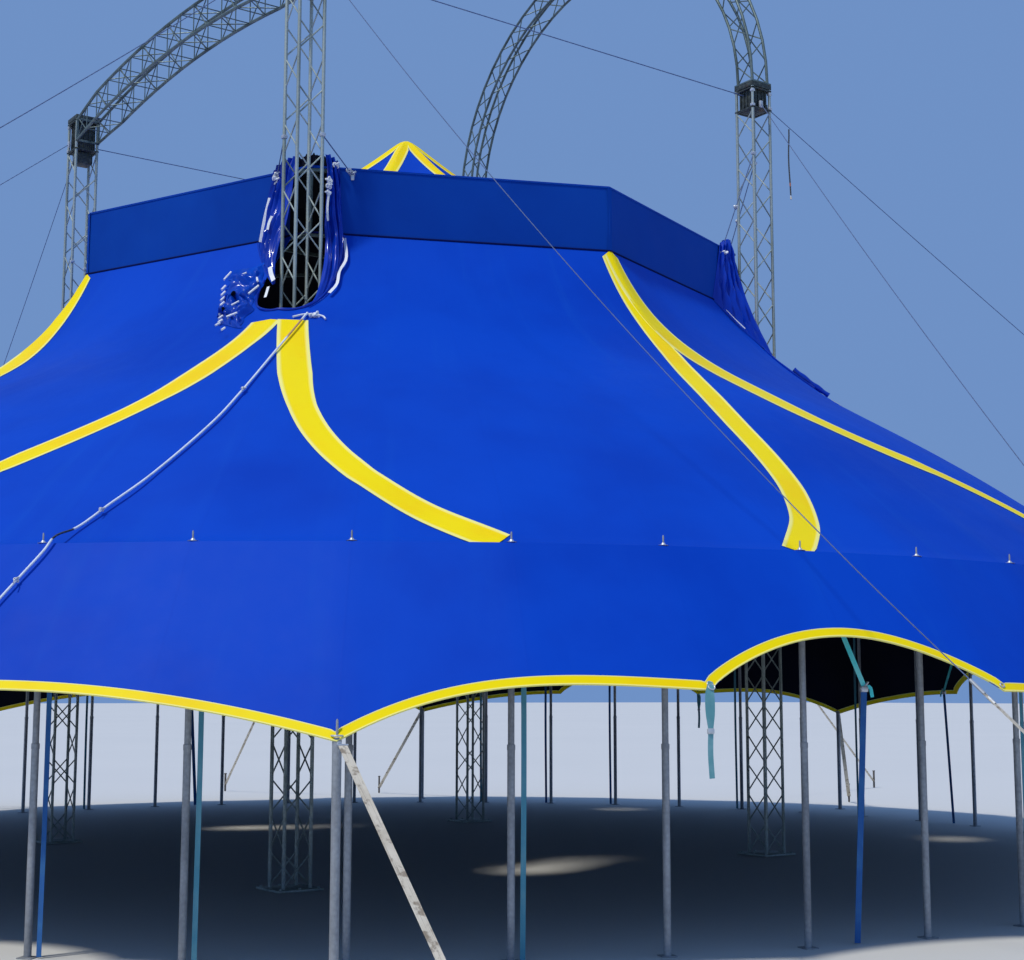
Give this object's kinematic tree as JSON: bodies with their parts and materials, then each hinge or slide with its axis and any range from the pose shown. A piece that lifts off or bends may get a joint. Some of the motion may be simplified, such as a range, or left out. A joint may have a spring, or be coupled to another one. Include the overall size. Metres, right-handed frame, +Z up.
{
  "type": "circus big top tent",
  "caption": "Round four-mast circus tent with octagonal cupola, striped canopy, scalloped eaves on side poles, a girder, an arched truss and guys.",
  "frame": {"origin": "on the ground at the centre of the ring", "axes": "+Z up, +Y from the girder to the arched truss, +X to the right seen from the front"},
  "size_m": [31.8701, 38.9938, 16.0173],
  "materials": {
    "galvanised_steel": "weathered galvanised",
    "pole_steel": "weathered galvanised",
    "blue_canvas": "coated, semi-gloss",
    "navy_canvas": "coated, glossy",
    "cable": "wire rope",
    "white_rope": "sleeved rope",
    "dark_rope": "rope"
  },
  "bodies": {
    "root": {"mast_front_left": "galvanised_steel", "collar_front_left": "navy_canvas", "mast_front_right": "galvanised_steel", "collar_front_right": "navy_canvas", "mast_back_right": "galvanised_steel", "collar_back_right": "navy_canvas", "mast_back_left": "galvanised_steel", "collar_back_left": "navy_canvas", "front_girder": "galvanised_steel", "back_arch": "galvanised_steel", "tie_cable_right": "cable", "tie_cable_left": "cable", "cupola_band": "navy_canvas", "cupola_roof": "blue_canvas", "cupola_frame": "galvanised_steel", "cupola_spokes": "galvanised_steel", "canopy_right": "blue_canvas", "valance_right": "blue_canvas", "ring_poles_right": "pole_steel", "canopy_back": "blue_canvas", "valance_back": "blue_canvas", "ring_poles_back": "pole_steel", "canopy_left": "blue_canvas", "valance_left": "blue_canvas", "ring_poles_left": "pole_steel", "canopy_front": "blue_canvas", "valance_front": "blue_canvas", "ring_poles_front": "pole_steel", "staked_corner_1": "pole_steel", "staked_corner_2": "pole_steel", "staked_corner_3": "pole_steel", "staked_corner_4": "pole_steel", "staked_corner_5": "pole_steel", "staked_corner_6": "pole_steel", "staked_corner_7": "pole_steel", "staked_corner_8": "pole_steel", "end_guy_front_left": "cable", "side_guy_front_left": "cable", "end_guy_front_right": "cable", "side_guy_front_right": "cable", "end_guy_back_right": "cable", "side_guy_back_right": "cable", "end_guy_back_left": "cable", "side_guy_back_left": "cable", "rope_tail": "dark_rope", "sleeved_rope": "white_rope"}
  },
  "joints": []
}
